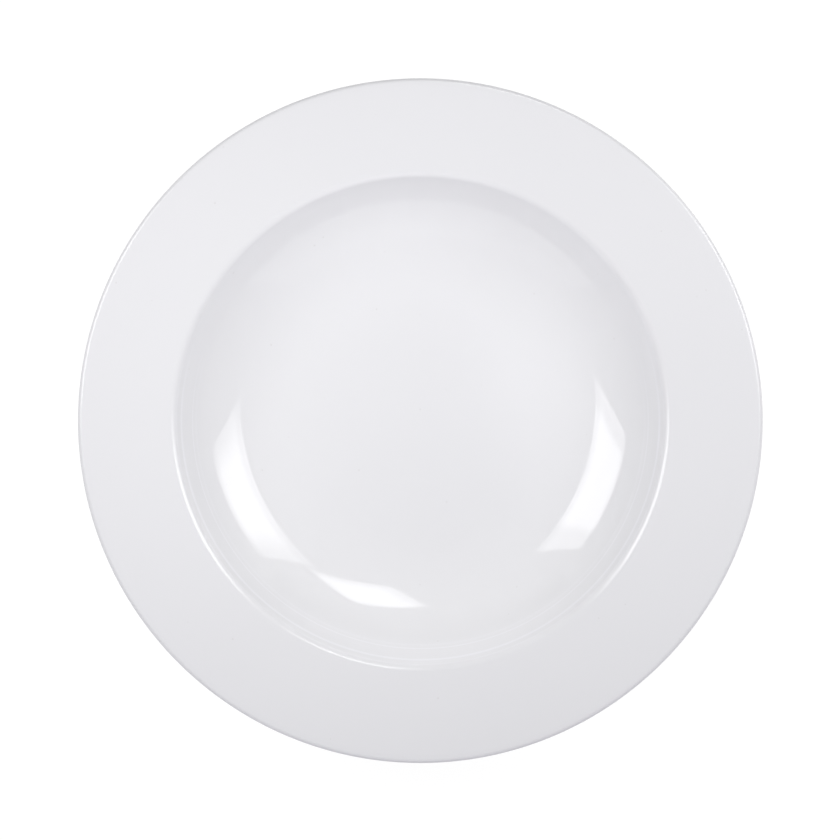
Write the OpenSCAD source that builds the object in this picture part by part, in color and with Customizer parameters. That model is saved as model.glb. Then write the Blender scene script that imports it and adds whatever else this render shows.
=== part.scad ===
// Rimmed soup plate in glazed white porcelain.
// The body is one pressed and fired piece with a broad rim, a deep well and a foot ring.
// A glassy coat covers it down to the foot, whose standing face is wiped bare before firing.
// The origin is the centre of the standing face, with +Z up through the middle of the well.

/* [Plate] */
// Diameter over the rounded outer edge
plate_d = 230; // [215:1:250]
// Thickness of the rim
rim_t = 2.9; // [2.4:0.1:4]
// Upward slope of the rim, in degrees
rim_slope = 6.5; // [4:0.5:10]
// How far the rim's top drops over its softened shoulder to the rounded edge
shoulder_drop = 0.1; // [0.05:0.05:0.4]
// Radius of the softened shoulder beside the edge
shoulder_r = 15; // [8:1:25]

/* [Well] */
// Diameter of the well, where the lip runs out onto the rim
well_d = 169; // [160:0.5:178]
// Radius of the lip between the wall and the rim
lip_r = 3.5; // [2:0.1:5]
// Slope of the wall where it meets the lip, in degrees
wall_slope = 63; // [58:0.5:68]
// Radius of the wall's hollow curve
wall_r = 36; // [32:1:40]
// Slope where the wall's curve takes over from the wider floor curve, in degrees
floor_slope = 20; // [16:1:24]
// Radius of the wide curve round the flat floor
floor_r = 59; // [45:1:70]
// Thickness of the wall
wall_t = 4.2; // [3.4:0.1:5]
// Thickness of the base under the floor, inside the foot ring
base_t = 4.8; // [4:0.1:6]
// Radius of the hollow under the rim, where the wall turns out into it
under_r = 7; // [4:0.5:10]

/* [Foot] */
// How far the foot's outer side stands inside the edge of the well
foot_inset = 28.5; // [25:0.5:32]
// Width of the foot ring at its standing face
foot_w = 4; // [3.4:0.1:5]
// Height of the recess inside the foot ring
recess_h = 3; // [2.6:0.1:3.6]
// Draft of the foot's sides, in degrees
foot_draft = 10; // [5:1:15]
// Rounding of the foot's two standing corners
foot_corner_r = 0.8; // [0.5:0.1:1]
// Fillet between the foot's outer side and the underside of the well
foot_fillet_r = 2.5; // [1.5:0.5:3.5]
// Fillet between the foot's inner side and the recess
recess_fillet_r = 1.2; // [0.8:0.1:1.4]

/* [Glaze] */
// Thickness of the glaze
glaze_t = 0.25; // [0.15:0.05:0.4]
// Height above the standing face where the glaze ends
glaze_line_h = 1.1; // [0.9:0.1:1.4]

/* [Hidden] */
// Degrees between the points on the wide curves, and on the fillets and rounded edges
curve_step = 3;
fillet_step = 12;
// Halvings in the search for a fillet's place
search_steps = 40;
$fn = 180;

// Points of an arc about centre c, from one angle to another
function arc(c, r, from, to, step = fillet_step) =
    let (count = max(2, ceil(abs(to - from) / step)))
    [for (i = [0:count]) c + r * direction(from + (to - from) * i / count)];

function direction(angle) = [cos(angle), sin(angle)];

// Value between low and high at which f turns from negative to positive
function root(f, low, high, steps = search_steps) =
    let (middle = (low + high) / 2)
    steps == 0 ? middle
    : f(middle) > 0 ? root(f, low, middle, steps - 1)
    : root(f, middle, high, steps - 1);

// The well's surface, as the point where its slope has the given angle, and the
// surfaces at a depth under it. Its two curves share a tangent at floor_slope.
floor_z = recess_h + base_t;
wall_span = wall_r * (sin(wall_slope) - sin(floor_slope));
lip_span = lip_r * (sin(wall_slope) - sin(rim_slope));
flat_r = well_d / 2 - lip_span - wall_span - floor_r * sin(floor_slope);
floor_c = [flat_r, floor_z + floor_r];
wall_c = floor_c + (floor_r - wall_r) * direction(floor_slope - 90);

function well_point(slope, depth) = slope < floor_slope
    ? floor_c + (floor_r + depth) * direction(slope - 90)
    : wall_c + (wall_r + depth) * direction(slope - 90);

function well_curve(from, to, depth) =
    let (count = ceil(abs(to - from) / curve_step))
    [for (i = [0:count]) well_point(from + (to - from) * i / count, depth)];

// The lip and the rim. The rim's two faces run along rim_u, and rim_v is square to them.
rim_u = direction(rim_slope);
rim_v = direction(rim_slope + 90);
lip_c = wall_c + (wall_r + lip_r) * direction(wall_slope - 90);
lip_end = lip_c + lip_r * rim_v;

// The rounded edge takes up the rim's thickness left under the softened shoulder
edge_r = (rim_t - shoulder_drop) / 2;
edge_x = plate_d / 2 - edge_r;
edge_reach = (edge_x - lip_end.x - (rim_t - edge_r) * sin(rim_slope)) / cos(rim_slope);
edge_c = lip_end + edge_reach * rim_u - (rim_t - edge_r) * rim_v;
shoulder_turn = acos(1 - shoulder_drop / (shoulder_r - edge_r));
shoulder_c = edge_c - (shoulder_r - edge_r) * direction(90 + rim_slope - shoulder_turn);

// The hollow under the rim touches the rim's underside and the outside of the wall
function above_rim_hollow(slope) =
    (well_point(slope, wall_t + under_r) - edge_c) * rim_v + edge_r + under_r;
under_slope = root(function (slope) above_rim_hollow(slope), floor_slope, 90);
under_c = well_point(under_slope, wall_t + under_r);

// The foot ring. Each side leans with its draft, so the ring is narrowest where it stands.
foot_r = well_d / 2 - foot_inset;
outer_corner = [foot_r - foot_corner_r, foot_corner_r];
inner_corner = [foot_r - foot_w + foot_corner_r, foot_corner_r];
outer_side = direction(-foot_draft);
inner_side = direction(180 + foot_draft);

// Point at height z on one side of the foot, at a depth under its glazed face
function side_point(corner, side, depth, z) =
    let (foot_point = corner + (foot_corner_r + glaze_t - depth) * side)
    [foot_point.x + (z - foot_point.y) * tan(foot_draft) * sign(side.x), z];

// The outer fillet touches the foot's side and the underside of the well
function outside_foot(slope) =
    (well_point(slope, wall_t + foot_fillet_r) - outer_corner) * outer_side
    - foot_corner_r - glaze_t - foot_fillet_r;
foot_slope = root(function (slope) outside_foot(slope), 0, under_slope);
foot_fillet_c = well_point(foot_slope, wall_t + foot_fillet_r);

// The inner fillet touches the foot's side and the flat of the recess
recess_fillet_z = recess_h - recess_fillet_r;
recess_fillet_c = [
    side_point(inner_corner, inner_side, 0, recess_fillet_z).x - recess_fillet_r / cos(foot_draft),
    recess_fillet_z
];

// Outline over the top, round the edge and down to the glaze line outside the foot
function outer_outline(depth) = concat(
    [[0, floor_z - depth]],
    well_curve(0, floor_slope, depth),
    well_curve(floor_slope + curve_step, wall_slope - curve_step, depth),
    arc(lip_c, lip_r - depth, 90 + wall_slope, 90 + rim_slope),
    arc(shoulder_c, shoulder_r - depth, 90 + rim_slope, 90 + rim_slope - shoulder_turn, curve_step),
    arc(edge_c, edge_r - depth, 90 + rim_slope - shoulder_turn - fillet_step, 0),
    arc(edge_c, edge_r - depth, -fillet_step, rim_slope - 90),
    arc(under_c, under_r + depth, 90 + rim_slope, 90 + under_slope),
    well_curve(under_slope - curve_step, foot_slope + curve_step, wall_t - depth),
    arc(foot_fillet_c, foot_fillet_r + depth, 90 + foot_slope, 180 - foot_draft),
    [side_point(outer_corner, outer_side, depth, glaze_line_h + glaze_t - depth)]
);

// Outline from the glaze line inside the foot to the middle of the recess
function recess_outline(depth) = concat(
    [side_point(inner_corner, inner_side, depth, glaze_line_h + glaze_t - depth)],
    arc(recess_fillet_c, recess_fillet_r + depth, foot_draft, 90),
    [[0, recess_h + depth]]
);

function reversed(points) = [for (i = [len(points) - 1:-1:0]) points[i]];

// The fired body, with its bare foot. Everywhere else it lies one glaze thickness
// under the surface that is seen.
module porcelain_body() {
    color("#F4F1EA")
        rotate_extrude()
            polygon(concat(
                outer_outline(glaze_t),
                arc(outer_corner, foot_corner_r, -foot_draft, -90),
                arc(inner_corner, foot_corner_r, -90, foot_draft - 180),
                recess_outline(glaze_t)
            ));
}

// One unbroken coat of glaze over the well, the rim, the edge and the outside
module glaze_coat() {
    color("#EBEAEF")
        rotate_extrude()
            polygon(concat(outer_outline(0), reversed(outer_outline(glaze_t))));
}

// The glaze inside the foot ring, cut off from the rest by the bare standing face
module base_glaze() {
    color("#E6E5EB")
        rotate_extrude()
            polygon(concat(recess_outline(0), reversed(recess_outline(glaze_t))));
}

porcelain_body();
glaze_coat();
base_glaze();
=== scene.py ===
import math

import bpy
from mathutils import Euler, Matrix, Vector


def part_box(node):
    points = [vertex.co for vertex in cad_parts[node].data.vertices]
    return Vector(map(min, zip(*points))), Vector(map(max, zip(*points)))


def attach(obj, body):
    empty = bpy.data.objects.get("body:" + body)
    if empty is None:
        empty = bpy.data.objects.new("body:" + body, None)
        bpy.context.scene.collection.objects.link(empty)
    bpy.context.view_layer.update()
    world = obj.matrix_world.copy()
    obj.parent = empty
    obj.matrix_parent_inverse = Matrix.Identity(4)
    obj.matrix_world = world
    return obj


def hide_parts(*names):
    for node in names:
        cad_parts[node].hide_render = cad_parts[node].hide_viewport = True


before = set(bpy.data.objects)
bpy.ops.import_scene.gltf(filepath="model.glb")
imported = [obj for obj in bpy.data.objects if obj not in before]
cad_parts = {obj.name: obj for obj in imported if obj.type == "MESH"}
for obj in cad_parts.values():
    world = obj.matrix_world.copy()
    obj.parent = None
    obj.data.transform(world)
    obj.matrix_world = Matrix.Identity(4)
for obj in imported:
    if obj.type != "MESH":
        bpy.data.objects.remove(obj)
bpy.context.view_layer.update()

# The fired porcelain body: kaolin, feldspar and quartz, pressed between two dies in one
# piece with its rim, wall and foot ring, and fired white and dense. Only the foot shows,
# wiped bare before the glaze firing. Elsewhere it lies one glaze thickness down.
MM = 0.001
QUARTER = math.pi / 2
plate_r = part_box("glaze_coat")[1].x
glaze_t = plate_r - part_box("porcelain_body")[1].x

rim_t = 2.9 * MM
rim_slope = math.radians(6.5)
shoulder_drop = 0.1 * MM
shoulder_r = 15 * MM
well_r = 84.5 * MM
lip_r = 3.5 * MM
wall_slope = math.radians(63)
wall_r = 36 * MM
floor_slope = math.radians(20)
floor_r = 59 * MM
wall_t = 4.2 * MM
base_t = 4.8 * MM
under_r = 7 * MM
foot_inset = 28.5 * MM
foot_w = 4 * MM
recess_h = 3 * MM
foot_draft = math.radians(10)
foot_corner_r = 0.8 * MM
foot_fillet_r = 2.5 * MM
recess_fillet_r = 1.2 * MM
glaze_line_h = 1.1 * MM

curve_step = math.radians(1)
fillet_step = math.radians(5)
ring_step = 4 * MM
turns = 216


def direction(angle):
    return Vector((math.cos(angle), math.sin(angle)))


def arc(centre, radius, start, end, step=fillet_step):
    """Points of an arc about centre, from one angle to another."""
    count = max(2, math.ceil(abs(end - start) / step))
    angles = [start + (end - start) * i / count for i in range(count + 1)]
    return [centre + radius * direction(angle) for angle in angles]


def root(f, low, high, halvings=40):
    """Value between low and high at which f turns from negative to positive."""
    for _ in range(halvings):
        middle = (low + high) / 2
        low, high = (low, middle) if f(middle) > 0 else (middle, high)
    return (low + high) / 2


floor_z = recess_h + base_t
wall_span = wall_r * (math.sin(wall_slope) - math.sin(floor_slope))
lip_span = lip_r * (math.sin(wall_slope) - math.sin(rim_slope))
flat_r = well_r - lip_span - wall_span - floor_r * math.sin(floor_slope)
floor_c = Vector((flat_r, floor_z + floor_r))
wall_c = floor_c + (floor_r - wall_r) * direction(floor_slope - QUARTER)


def well_point(slope, depth):
    """Point at a depth under the well's surface, where the surface has the given slope."""
    centre, radius = (floor_c, floor_r) if slope < floor_slope else (wall_c, wall_r)
    return centre + (radius + depth) * direction(slope - QUARTER)


def well_curve(start, end, depth):
    """Points at a depth under the well's surface, from one slope to another."""
    count = math.ceil(abs(end - start) / curve_step)
    return [well_point(start + (end - start) * i / count, depth) for i in range(count + 1)]


rim_u = direction(rim_slope)
rim_v = direction(rim_slope + QUARTER)
lip_c = wall_c + (wall_r + lip_r) * direction(wall_slope - QUARTER)
lip_end = lip_c + lip_r * rim_v
edge_r = (rim_t - shoulder_drop) / 2
edge_depth = rim_t - edge_r
edge_x = plate_r - edge_r
edge_reach = (edge_x - lip_end.x - edge_depth * math.sin(rim_slope)) / math.cos(rim_slope)
edge_c = lip_end + edge_reach * rim_u - edge_depth * rim_v
shoulder_turn = math.acos(1 - shoulder_drop / (shoulder_r - edge_r))
edge_top = QUARTER + rim_slope - shoulder_turn
shoulder_c = edge_c - (shoulder_r - edge_r) * direction(edge_top)


def above_rim_hollow(slope):
    """How far the hollow that touches the wall at this slope reaches into the rim."""
    return (well_point(slope, wall_t + under_r) - edge_c).dot(rim_v) + edge_r + under_r


under_slope = root(above_rim_hollow, floor_slope, QUARTER)
under_c = well_point(under_slope, wall_t + under_r)

foot_r = well_r - foot_inset
outer_corner = Vector((foot_r - foot_corner_r, foot_corner_r))
inner_corner = Vector((foot_r - foot_w + foot_corner_r, foot_corner_r))
outer_side = direction(-foot_draft)
inner_side = direction(math.pi + foot_draft)


def side_point(corner, side, depth, z):
    """Point at height z on one side of the foot, at a depth under its glazed face."""
    foot_point = corner + (foot_corner_r + glaze_t - depth) * side
    lean = math.tan(foot_draft) * math.copysign(1, side.x)
    return Vector((foot_point.x + (z - foot_point.y) * lean, z))


def outside_foot(slope):
    """How far the fillet that touches the wall at this slope stays clear of the foot."""
    reach = (well_point(slope, wall_t + foot_fillet_r) - outer_corner).dot(outer_side)
    return reach - foot_corner_r - glaze_t - foot_fillet_r


foot_slope = root(outside_foot, 0, under_slope)
foot_fillet_c = well_point(foot_slope, wall_t + foot_fillet_r)
recess_fillet_z = recess_h - recess_fillet_r
recess_side = side_point(inner_corner, inner_side, 0, recess_fillet_z)
recess_fillet_c = Vector((recess_side.x - recess_fillet_r / math.cos(foot_draft), recess_fillet_z))


def outer_outline(depth):
    """Outline over the top, round the edge and down to the foot's outer fillet."""
    return [
        Vector((0, floor_z - depth)),
        *well_curve(0, floor_slope, depth),
        *well_curve(floor_slope + curve_step, wall_slope - curve_step, depth),
        *arc(lip_c, lip_r - depth, QUARTER + wall_slope, QUARTER + rim_slope),
        *arc(shoulder_c, shoulder_r - depth, QUARTER + rim_slope, edge_top, curve_step),
        *arc(edge_c, edge_r - depth, edge_top - fillet_step, 0),
        *arc(edge_c, edge_r - depth, -fillet_step, rim_slope - QUARTER),
        *arc(under_c, under_r + depth, QUARTER + rim_slope, QUARTER + under_slope),
        *well_curve(under_slope - curve_step, foot_slope + curve_step, wall_t - depth),
        *arc(foot_fillet_c, foot_fillet_r + depth, QUARTER + foot_slope, math.pi - foot_draft),
    ]


def recess_outline(depth):
    """Outline from the recess's fillet to its middle."""
    return [
        *arc(recess_fillet_c, recess_fillet_r + depth, foot_draft, QUARTER),
        Vector((0, recess_h + depth)),
    ]


def bare_foot():
    """Outline down one side of the foot, across its standing face and up the other."""
    return [
        side_point(outer_corner, outer_side, glaze_t, glaze_line_h),
        *arc(outer_corner, foot_corner_r, -foot_draft, -QUARTER),
        *arc(inner_corner, foot_corner_r, -QUARTER, foot_draft - math.pi),
        side_point(inner_corner, inner_side, glaze_t, glaze_line_h),
    ]


def with_rings(outline):
    """The outline with further points along its long straight runs."""
    points = [outline[0]]
    for end in outline[1:]:
        start = points[-1]
        count = max(1, math.ceil((end - start).length / ring_step))
        points += [start.lerp(end, (i + 1) / count) for i in range(count)]
    return points


def thrown(name, outline, closed=False):
    """A smooth body of revolution, from an outline between two points on the axis or a closed one."""
    verts, faces, rows = [], [], []
    for point in with_rings(outline + outline[:1] if closed else outline):
        if point.x == 0:
            rows.append([len(verts)] * turns)
            verts.append((0, 0, point.y))
            continue
        rows.append([len(verts) + i for i in range(turns)])
        for i in range(turns):
            across = point.x * direction(2 * math.pi * i / turns)
            verts.append((*across, point.y))
    if closed:
        rows[-1] = rows[0]
        del verts[-turns if outline[0].x else -1:]
    for low, high in zip(rows, rows[1:]):
        for i in range(turns):
            j = (i + 1) % turns
            face = list(dict.fromkeys([low[i], low[j], high[j], high[i]]))
            if len(face) > 2:
                faces.append(face)
    mesh = bpy.data.meshes.new(name)
    mesh.from_pydata(verts, [], faces)
    mesh.polygons.foreach_set("use_smooth", [True] * len(faces))
    mesh.update()
    piece = bpy.data.objects.new(name, mesh)
    bpy.context.scene.collection.objects.link(piece)
    return piece


def srgb(code):
    """Linear colour of an sRGB hex code."""
    shares = [int(code[i : i + 2], 16) / 255 for i in (1, 3, 5)]
    return (*[c / 12.92 if c <= 0.04045 else ((c + 0.055) / 1.055) ** 2.4 for c in shares], 1)


def node(tree, kind, inputs=(), **settings):
    """Adds a node, sets its settings, and sets or links its inputs."""
    new = tree.nodes.new(kind)
    for key, value in settings.items():
        setattr(new, key, value)
    for key, value in dict(inputs).items():
        if isinstance(value, bpy.types.NodeSocket):
            tree.links.new(value, new.inputs[key])
        else:
            new.inputs[key].default_value = value
    return new


def material(name):
    """A new material and its empty node tree."""
    made = bpy.data.materials.new(name)
    made.use_nodes = True
    made.node_tree.nodes.clear()
    return made, made.node_tree


# Biscuit porcelain, fired and rubbed smooth: a warm, matt white beside the cool glaze,
# with a fine dry grain and faint clouds where the kiln shelf has left its dust.
biscuit_grain = 0.35 * MM
biscuit_grain_h = 0.05 * MM
biscuit_cloud = 9 * MM
bare_porcelain, tree = material("unglazed_biscuit_porcelain")
place = node(tree, "ShaderNodeTexCoord").outputs["Object"]
grain = node(tree, "ShaderNodeTexNoise", {"Vector": place, "Scale": 1 / biscuit_grain, "Detail": 4.0})
cloud = node(tree, "ShaderNodeTexNoise", {"Vector": place, "Scale": 1 / biscuit_cloud, "Detail": 3.0})
tone = node(tree, "ShaderNodeMix", {
    "Factor": cloud.outputs["Fac"], "A": srgb("#EAE5DC"), "B": srgb("#DDD6CB"),
}, data_type="RGBA")
relief = node(tree, "ShaderNodeBump", {
    "Height": grain.outputs["Fac"], "Strength": 0.4, "Distance": biscuit_grain_h,
})
surface = node(tree, "ShaderNodeBsdfPrincipled", {
    "Base Color": tone.outputs["Result"], "Roughness": 0.65, "IOR": 1.5,
    "Normal": relief.outputs["Normal"],
})
node(tree, "ShaderNodeOutputMaterial", {"Surface": surface.outputs["BSDF"]})

body = thrown("porcelain_body_fired", outer_outline(glaze_t) + bare_foot() + recess_outline(glaze_t))
body.data.materials.append(bare_porcelain)
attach(body, "root")
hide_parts("porcelain_body")

# The glaze coat: a feldspar glass, dipped on and fired over the whole plate but the foot,
# where it ends in a soft bead. It is mirror smooth and clear over the cool white body.


def bead(corner, side):
    """Outline of the glaze's rounded end on one side of the foot, from its face down to the body."""
    count = round(QUARTER / fillet_step)
    points = []
    for i in range(count + 1):
        out = glaze_t * direction(QUARTER * i / count)
        points.append(side_point(corner, side, glaze_t - out.x, glaze_line_h + glaze_t - out.y))
    return points


# Clear gloss glaze over white porcelain: a deep, wet shine whose reflections keep sharp
# but slightly wavering edges, as the glass settles in long, shallow waves. Its colour is
# the body's own cool white, with a few specks of iron, and faint rings of painted
# reflection on the front of the upper wall.
pool_span = 45 * MM
wave_span = 14 * MM
ripple_span = 2.5 * MM
ripple_part = 1 / 12
speck_span = 3 * MM
speck_chance = 0.1
speck_max_r = 0.39 * MM
speck_depth = 0.15

# Painted reflection: faint lighter rings painted into the glaze's colour round the front of
# the upper wall. They stand in for the faint streaks in which the glaze there mirrors the
# softboxes, and are painted only on the front, where those reflections fall.
painted_ring_span = 0.9 * MM
painted_ring_share = 0.55
painted_rings_inside = (75.5 * MM, 77 * MM)
painted_rings_outside = (81.5 * MM, 82.5 * MM)
painted_rings_front = (30 * MM, -5 * MM)


def painted_ring_reflections(tree, place):
    """How far painted rings of reflection lighten the glaze at a place. They fade up and down the wall,
    and to the back.
    """
    level = node(tree, "ShaderNodeVectorMath", {0: place, 1: (1, 1, 0)}, operation="MULTIPLY")
    radius = node(tree, "ShaderNodeVectorMath", {0: level.outputs[0]}, operation="LENGTH").outputs["Value"]
    axes = node(tree, "ShaderNodeSeparateXYZ", {0: place})
    rings = node(tree, "ShaderNodeTexNoise", {
        "W": radius, "Scale": 1 / painted_ring_span, "Detail": 1.0,
    }, noise_dimensions="1D")
    share = node(tree, "ShaderNodeMapRange", {
        "Value": rings.outputs["Fac"], "From Min": 0.5, "From Max": 0.7, "To Max": painted_ring_share,
    })
    for value, (start, stop), shares in (
        (radius, painted_rings_inside, (0.0, 1.0)),
        (radius, painted_rings_outside, (1.0, 0.0)),
        (axes.outputs["Y"], painted_rings_front, (0.0, 1.0)),
    ):
        fade = node(tree, "ShaderNodeMapRange", {
            "Value": value, "From Min": start, "From Max": stop, "To Min": shares[0], "To Max": shares[1],
        })
        share = node(tree, "ShaderNodeMath", {
            0: share.outputs[0], 1: fade.outputs[0],
        }, operation="MULTIPLY")
    return share.outputs[0]


def clear_glaze(name, light_tone, dark_tone, smooth, dull, wave_h):
    """Glazed porcelain between two tones and two roughnesses, with waves of a given height."""
    glazed, tree = material(name)
    place = node(tree, "ShaderNodeTexCoord").outputs["Object"]
    pool = node(tree, "ShaderNodeTexNoise", {"Vector": place, "Scale": 1 / pool_span, "Detail": 3.0})
    tone = node(tree, "ShaderNodeMix", {
        "Factor": pool.outputs["Fac"], "A": srgb(light_tone), "B": srgb(dark_tone),
    }, data_type="RGBA")
    cell = node(tree, "ShaderNodeTexVoronoi", {"Vector": place, "Scale": 1 / speck_span})
    chance = node(tree, "ShaderNodeSeparateColor", {"Color": cell.outputs["Color"]})
    speck_r = node(tree, "ShaderNodeMapRange", {
        "Value": chance.outputs["Red"], "From Min": 1 - speck_chance, "To Max": speck_max_r / speck_span,
    })
    speck = node(tree, "ShaderNodeMath", {
        0: cell.outputs["Distance"], 1: speck_r.outputs["Result"],
    }, operation="LESS_THAN")
    speck_share = node(tree, "ShaderNodeMath", {0: speck.outputs[0], 1: speck_depth}, operation="MULTIPLY")
    specked = node(tree, "ShaderNodeMix", {
        "Factor": speck_share.outputs[0], "A": tone.outputs["Result"], "B": srgb("#B9B2AC"),
    }, data_type="RGBA")
    # Painted reflection: the rings lighten the glaze's colour toward a brighter white.
    ring_reflected_tone = node(tree, "ShaderNodeMix", {
        "Factor": painted_ring_reflections(tree, place), "A": specked.outputs["Result"], "B": srgb("#F5F5F8"),
    }, data_type="RGBA")
    wave = node(tree, "ShaderNodeTexNoise", {"Vector": place, "Scale": 1 / wave_span, "Detail": 1.0})
    ripple = node(tree, "ShaderNodeTexNoise", {"Vector": place, "Scale": 1 / ripple_span, "Detail": 1.0})
    waves = node(tree, "ShaderNodeBump", {
        "Height": wave.outputs["Fac"], "Strength": 1.0, "Distance": wave_h,
    })
    ripples = node(tree, "ShaderNodeBump", {
        "Height": ripple.outputs["Fac"], "Strength": 1.0, "Distance": wave_h * ripple_part,
        "Normal": waves.outputs["Normal"],
    })
    gloss = node(tree, "ShaderNodeMapRange", {
        "Value": ripple.outputs["Fac"], "To Min": smooth, "To Max": dull,
    })
    surface = node(tree, "ShaderNodeBsdfPrincipled", {
        "Base Color": ring_reflected_tone.outputs["Result"], "Roughness": gloss.outputs["Result"], "IOR": 1.55,
        "Normal": ripples.outputs["Normal"],
    })
    node(tree, "ShaderNodeOutputMaterial", {"Surface": surface.outputs["BSDF"]})
    return glazed


coat_outline = outer_outline(0) + bead(outer_corner, outer_side) + outer_outline(glaze_t)[::-1]
coat = thrown("glaze_coat_fired", coat_outline, closed=True)
coat.data.materials.append(clear_glaze(
    "clear_glaze_over_porcelain", "#ECECED", "#EAEAEB", smooth=0.03, dull=0.05, wave_h=0.02 * MM
))
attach(coat, "root")
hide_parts("glaze_coat")

# The glaze inside the foot ring: the same glass, cut off by the bare foot. It lies thicker
# and duller there, as the plate is dipped foot down and the recess drains last.
recess_glaze = bead(inner_corner, inner_side)[::-1] + recess_outline(0) + recess_outline(glaze_t)[::-1]
base = thrown("base_glaze_fired", recess_glaze, closed=True)
base.data.materials.append(clear_glaze(
    "clear_glaze_in_the_recess", "#E8E8EA", "#E3E3E5", smooth=0.08, dull=0.16, wave_h=0.05 * MM
))
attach(base, "root")
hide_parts("base_glaze")

# The table: a sheet of smooth white card, larger than the view. To the camera, and in
# reflections, most of its white is its own, so that the plate's shadow stays faint.
table_w = 6.0
table_glow = 0.96


def rectangle(width, height, bottom):
    """The four corners of a rectangle on the Y axis, as (x, y), from the given bottom up."""
    side, top = width / 2, bottom + height
    return [(-side, bottom), (side, bottom), (side, top), (-side, top)]


def sheet(name, corners, shown_material):
    """A flat, four-sided piece of the studio."""
    mesh = bpy.data.meshes.new(name)
    mesh.from_pydata([(*corner, 0) for corner in corners], [], [(0, 1, 2, 3)])
    mesh.materials.append(shown_material)
    flat = bpy.data.objects.new(name, mesh)
    bpy.context.scene.collection.objects.link(flat)
    return flat


def seen_or_else(tree, unseen, seen):
    """One shader for rays from the camera or a shiny or clear surface, and another for the rest."""
    rays = node(tree, "ShaderNodeLightPath").outputs
    shown = node(tree, "ShaderNodeMath", {
        0: rays["Is Camera Ray"], 1: rays["Is Glossy Ray"],
    }, operation="MAXIMUM")
    shown = node(tree, "ShaderNodeMath", {
        0: shown.outputs[0], 1: rays["Is Transmission Ray"],
    }, operation="MAXIMUM")
    return node(tree, "ShaderNodeMixShader", {
        0: shown.outputs[0], 1: unseen.outputs[0], 2: seen.outputs[0],
    }).outputs[0]


white_card, tree = material("smooth_white_card")
white_card.cycles.emission_sampling = "NONE"
lit = node(tree, "ShaderNodeBsdfDiffuse", {"Color": srgb("#F4F4F4")})
shown_lit = node(tree, "ShaderNodeBsdfDiffuse", {"Color": srgb("#565656")})
shown_glow = node(tree, "ShaderNodeEmission", {"Color": srgb("#FFFFFF"), "Strength": table_glow})
shown = node(tree, "ShaderNodeAddShader", {0: shown_lit.outputs[0], 1: shown_glow.outputs[0]})
node(tree, "ShaderNodeOutputMaterial", {"Surface": seen_or_else(tree, lit, shown)})
sheet("table", rectangle(table_w, table_w, -table_w / 2), white_card)

# Three softboxes behind the plate, which the front of its well mirrors. Each has a cloth that
# the glaze mirrors, brightest in the middle, and the two at the sides hold a lamp that lights
# the plate. Azimuth 0 is +X, and 90 is the back.
lamp_tone = "#FEFEFF"


def at(azimuth, elevation, distance):
    """A step of this distance in a direction given in degrees."""
    a, e = math.radians(azimuth), math.radians(elevation)
    return distance * Vector((math.cos(e) * math.cos(a), math.cos(e) * math.sin(a), math.sin(e)))


def screen(name, corners, shown_material):
    """A sheet that no camera sees and that casts no shadow."""
    flat = sheet(name, corners, shown_material)
    flat.rotation_mode = "QUATERNION"
    flat.visible_camera = False
    flat.visible_shadow = False
    return flat


def hidden_lamp(name, kind, **settings):
    """A lamp that is seen neither by the camera nor in the glaze."""
    light = bpy.data.lights.new(name, kind)
    for key, value in settings.items():
        setattr(light, key, value)
    lamp = bpy.data.objects.new(name, light)
    lamp.rotation_mode = "QUATERNION"
    lamp.visible_camera = False
    lamp.visible_glossy = False
    bpy.context.scene.collection.objects.link(lamp)
    return lamp


def softbox_cloth(name, glow, side, ends):
    """Cloth whose glow drops toward its two sides and its two ends, each as (start, stop, share)."""
    cloth, tree = material(name)
    cloth.cycles.emission_sampling = "NONE"
    place = node(tree, "ShaderNodeTexCoord").outputs["Object"]
    apart = node(tree, "ShaderNodeVectorMath", {0: place}, operation="ABSOLUTE")
    axes = node(tree, "ShaderNodeSeparateXYZ", {0: apart.outputs[0]})
    across = node(tree, "ShaderNodeMapRange", {
        "Value": axes.outputs["Y"], "From Min": side[0], "From Max": side[1],
        "To Min": 1.0, "To Max": side[2],
    }, interpolation_type="SMOOTHSTEP")
    along = node(tree, "ShaderNodeMapRange", {
        "Value": axes.outputs["X"], "From Min": ends[0], "From Max": ends[1],
        "To Min": glow, "To Max": glow * ends[2],
    }, interpolation_type="SMOOTHSTEP")
    strength = node(tree, "ShaderNodeMath", {
        0: across.outputs["Result"], 1: along.outputs["Result"],
    }, operation="MULTIPLY")
    shown = node(tree, "ShaderNodeEmission", {"Strength": strength.outputs[0]})
    node(tree, "ShaderNodeOutputMaterial", {"Surface": shown.outputs[0]})
    return cloth


def softbox(name, cloth, azimuth, elevation, distance, wide, high, tilt, roll, light=0):
    """A softbox turned to the plate, with its width and height in shares of its distance.

    The tilt and the roll turn it further, in degrees.
    """
    width, height = wide * distance, high * distance
    face = screen(name + "_cloth", rectangle(2, 2, -1), cloth)
    face.scale = (width / 2, height / 2, 1)
    face.location = at(azimuth, elevation, distance)
    turned = Euler((math.radians(tilt), 0, math.radians(roll)), "ZYX").to_quaternion()
    face.rotation_quaternion = face.location.to_track_quat("Z", "Y") @ turned
    face.visible_diffuse = False
    if light:
        lamp = hidden_lamp(
            name, "AREA", shape="RECTANGLE", size=width, size_y=height,
            energy=light * math.pi * width * height, color=srgb(lamp_tone)[:3],
        )
        lamp.location = face.location
        lamp.rotation_quaternion = face.rotation_quaternion


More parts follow.
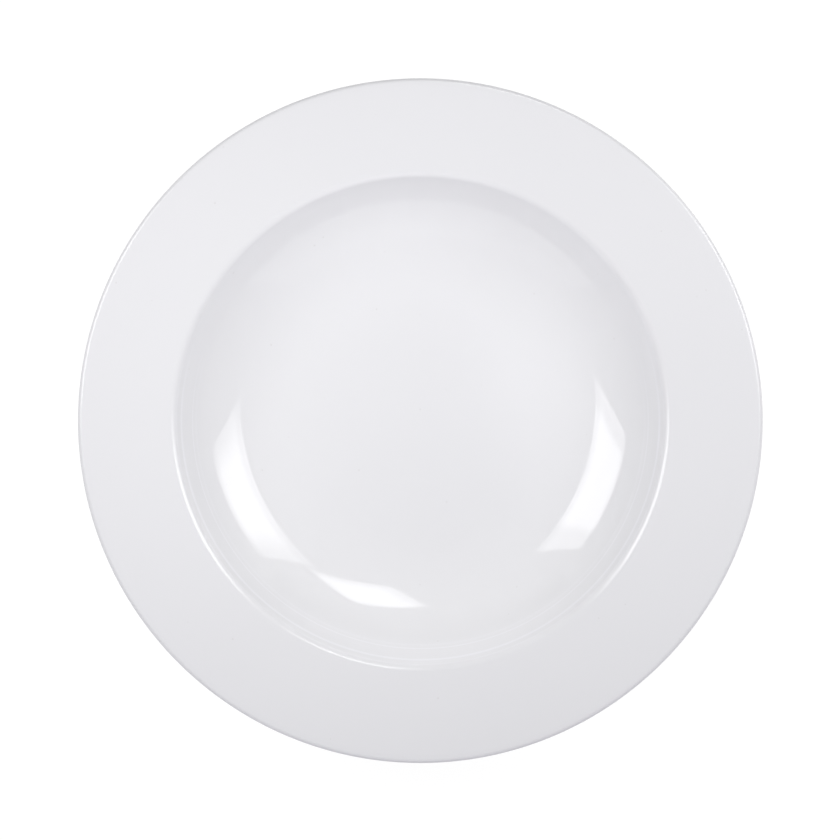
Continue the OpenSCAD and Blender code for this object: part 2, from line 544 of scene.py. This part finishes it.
softbox(
    "softbox_right",
    softbox_cloth("softbox_cloth_right", glow=5.3, side=(0.68, 0.8, 0.71), ends=(0.35, 0.95, 0.55)),
    azimuth=23.4, elevation=43.4, distance=0.5, wide=0.578, high=0.699, tilt=0, roll=1.8, light=3.88,
)
softbox(
    "softbox_left",
    softbox_cloth("softbox_cloth_left", glow=5.6, side=(0.78, 0.86, 0.74), ends=(0.55, 0.72, 0.62)),
    azimuth=160.7, elevation=48.4, distance=0.5, wide=0.551, high=0.645, tilt=6.7, roll=-5.5, light=4.09,
)
softbox(
    "softbox_back",
    softbox_cloth("softbox_cloth_back", glow=5.1, side=(0.7, 0.85, 0.73), ends=(0.65, 0.9, 0.7)),
    azimuth=73.2, elevation=53.4, distance=1.0, wide=0.282, high=0.327, tilt=0, roll=-53.1,
)

# Two small lamps that shade the plate softly: a bare bulb over the middle, and a spot lamp
# aimed at the right back of the well. Their light is given as the share of white that it
# lends to a white surface.
bulb_place = Vector((-0.03, 0.01, 0.18))
bulb_r = 0.05
bulb_light = 0.137
spot_aim = Vector((0.047, 0.0171, 0.011))
spot_away = 0.6
spot_widening = 1.9
spot_r = 27 * MM
spot_bulb_r = 0.02
spot_light = 0.06


def lamp_power(light, distance):
    """Power of a lamp that lends this share of white to a surface at this distance."""
    return light * (2 * math.pi * distance) ** 2


bulb = hidden_lamp(
    "bulb_overhead", "POINT", shadow_soft_size=bulb_r, energy=lamp_power(bulb_light, bulb_place.z)
)
bulb.location = bulb_place
spot = hidden_lamp(
    "spot_on_the_well", "SPOT", shadow_soft_size=spot_bulb_r, energy=lamp_power(spot_light, spot_away),
    spot_size=2 * math.atan(spot_r / spot_away), spot_blend=1.0,
)
spot.location = spot_aim + at(azimuth=200, elevation=70, distance=spot_away)
spot.rotation_quaternion = (spot_aim - spot.location).to_track_quat("-Z", "Y")
spot.scale = (spot_widening, 1, 1)

# A white card that stands in front and lights the back of the well. The glaze there mirrors
# it, with its slanting top edge.
wall_tone = "#F7F5FF"
card_light = 0.82
card_glow = 1.38
card_away = 0.45
card_corners = [(-0.6, 0.0), (0.6, 0.0), (0.42, 0.655), (-0.49, 0.545)]
card_face, tree = material("white_card_in_front")
card_face.cycles.emission_sampling = "NONE"
card_lit = node(tree, "ShaderNodeEmission", {"Color": srgb(wall_tone), "Strength": card_light})
card_mirrored = node(tree, "ShaderNodeEmission", {"Strength": card_glow})
node(tree, "ShaderNodeOutputMaterial", {"Surface": seen_or_else(tree, card_lit, card_mirrored)})
card = screen("white_card_in_front", card_corners, card_face)
card.location = (0, -card_away, 0)
card.rotation_quaternion = Euler((QUARTER, 0, 0)).to_quaternion()

# The studio's wall behind, which darkens toward the floor. Only the glaze shows it, at the
# front of the well, between the softboxes' reflections and the lip.
wall_away = 1.6
wall_w = 3.0
wall_h = 1.4
wall_dark = 0.45
wall_dark_h = 0.2 * wall_h
wall_face, tree = material("grey_wall_behind")
wall_face.cycles.emission_sampling = "NONE"
place = node(tree, "ShaderNodeTexCoord").outputs["Object"]
axes = node(tree, "ShaderNodeSeparateXYZ", {0: place})
shade = node(tree, "ShaderNodeMapRange", {
    "Value": axes.outputs["Y"], "From Min": wall_dark_h, "From Max": wall_h, "To Min": wall_dark,
})
shown = node(tree, "ShaderNodeEmission", {"Strength": shade.outputs["Result"]})
node(tree, "ShaderNodeOutputMaterial", {"Surface": shown.outputs[0]})
wall = screen("grey_wall_behind", rectangle(wall_w, wall_h, 0), wall_face)
wall.location = (0, wall_away, 0)
wall.rotation_quaternion = Euler((QUARTER, 0, 0)).to_quaternion()
wall.visible_diffuse = False

# White walls all round, which light the plate dimly. To the camera, and in reflections,
# they are plain white.
walls_light = 0.12
world = bpy.data.worlds.new("studio")
bpy.context.scene.world = world
world.use_nodes = True
tree = world.node_tree
tree.nodes.clear()
fill = node(tree, "ShaderNodeBackground", {"Color": srgb(wall_tone), "Strength": walls_light})
backdrop = node(tree, "ShaderNodeBackground", {"Color": srgb("#FFFFFF"), "Strength": 1.0})
node(tree, "ShaderNodeOutputWorld", {"Surface": seen_or_else(tree, fill, backdrop)})

# The camera looks straight down at the middle of the plate. The lens brings the edge to its
# radius in the photo, and the shift brings the middle to its place there.
camera_h = 1.25
frame_px = 840
edge_px = 342.4
plate_px = (420.36, 420.67)
camera = bpy.data.objects.new("camera", bpy.data.cameras.new("camera"))
px_per_m = edge_px / plate_r
camera.data.lens = camera.data.sensor_width * (camera_h - edge_c.y) * px_per_m / frame_px
camera.data.shift_x = (frame_px / 2 - plate_px[0]) / frame_px
camera.data.shift_y = (plate_px[1] - frame_px / 2) / frame_px
camera.location = (0, 0, camera_h)
bpy.context.scene.collection.objects.link(camera)
bpy.context.scene.camera = camera
bpy.context.scene.view_settings.view_transform = "Standard"
